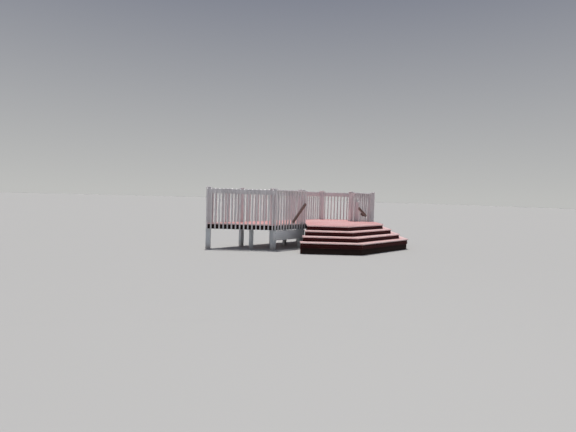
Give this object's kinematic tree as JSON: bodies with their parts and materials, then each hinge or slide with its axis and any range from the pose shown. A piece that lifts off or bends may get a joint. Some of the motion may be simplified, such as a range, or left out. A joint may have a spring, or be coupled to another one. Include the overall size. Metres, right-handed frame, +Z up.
{
  "type": "open-air bandstand: a raised timber stage with railings and half-octagon steps",
  "caption": "Raised timber bandstand with white railings, pink floor and treads, maroon risers and half-octagon steps.",
  "frame": {"origin": "centre of the bounding box, at the ground under the legs", "axes": "+X along the long front, to the right seen from the steps; +Z up; -Y towards the steps"},
  "size_m": [6.9576, 3.957, 1.907],
  "materials": {
    "white_paint": "painted, satin, dusty",
    "pink_paint": "painted, matt, worn",
    "maroon_paint": "painted, satin",
    "dark_timber": "stained, matt",
    "bare_timber": "bare, weathered"
  },
  "bodies": {
    "root": {"post_left_corner": "white_paint", "post_near_corner": "white_paint", "post_opening_left": "white_paint", "post_opening_right": "white_paint", "post_right_corner": "white_paint", "post_back_right": "white_paint", "back_posts": "white_paint", "inner_legs": "white_paint", "floor_beam": "dark_timber", "floor_joists": "dark_timber", "rim_front": "dark_timber", "rim_back": "dark_timber", "rim_left": "dark_timber", "rim_right": "dark_timber", "floor_deck": "pink_paint", "landing_deck": "pink_paint", "landing_frame": "dark_timber", "panel_left": "white_paint", "panel_front_left": "white_paint", "panel_front_right": "white_paint", "panel_right": "white_paint", "panel_back_1": "white_paint", "panel_back_2": "white_paint", "panel_back_3": "white_paint", "panel_back_4": "white_paint", "tread_1_left": "pink_paint", "tread_1_front": "pink_paint", "tread_1_right": "pink_paint", "tread_2_left": "pink_paint", "tread_2_front": "pink_paint", "tread_2_right": "pink_paint", "tread_3_left": "pink_paint", "tread_3_front": "pink_paint", "tread_3_right": "pink_paint", "riser_1": "maroon_paint", "riser_2": "maroon_paint", "riser_3": "maroon_paint", "riser_4": "maroon_paint", "step_stringers": "dark_timber", "step_cheeks": "maroon_paint", "skirt_left": "white_paint", "skirt_right": "white_paint", "handrail_left": "bare_timber", "newel_right": "white_paint", "handrail_right": "bare_timber"}
  },
  "joints": []
}
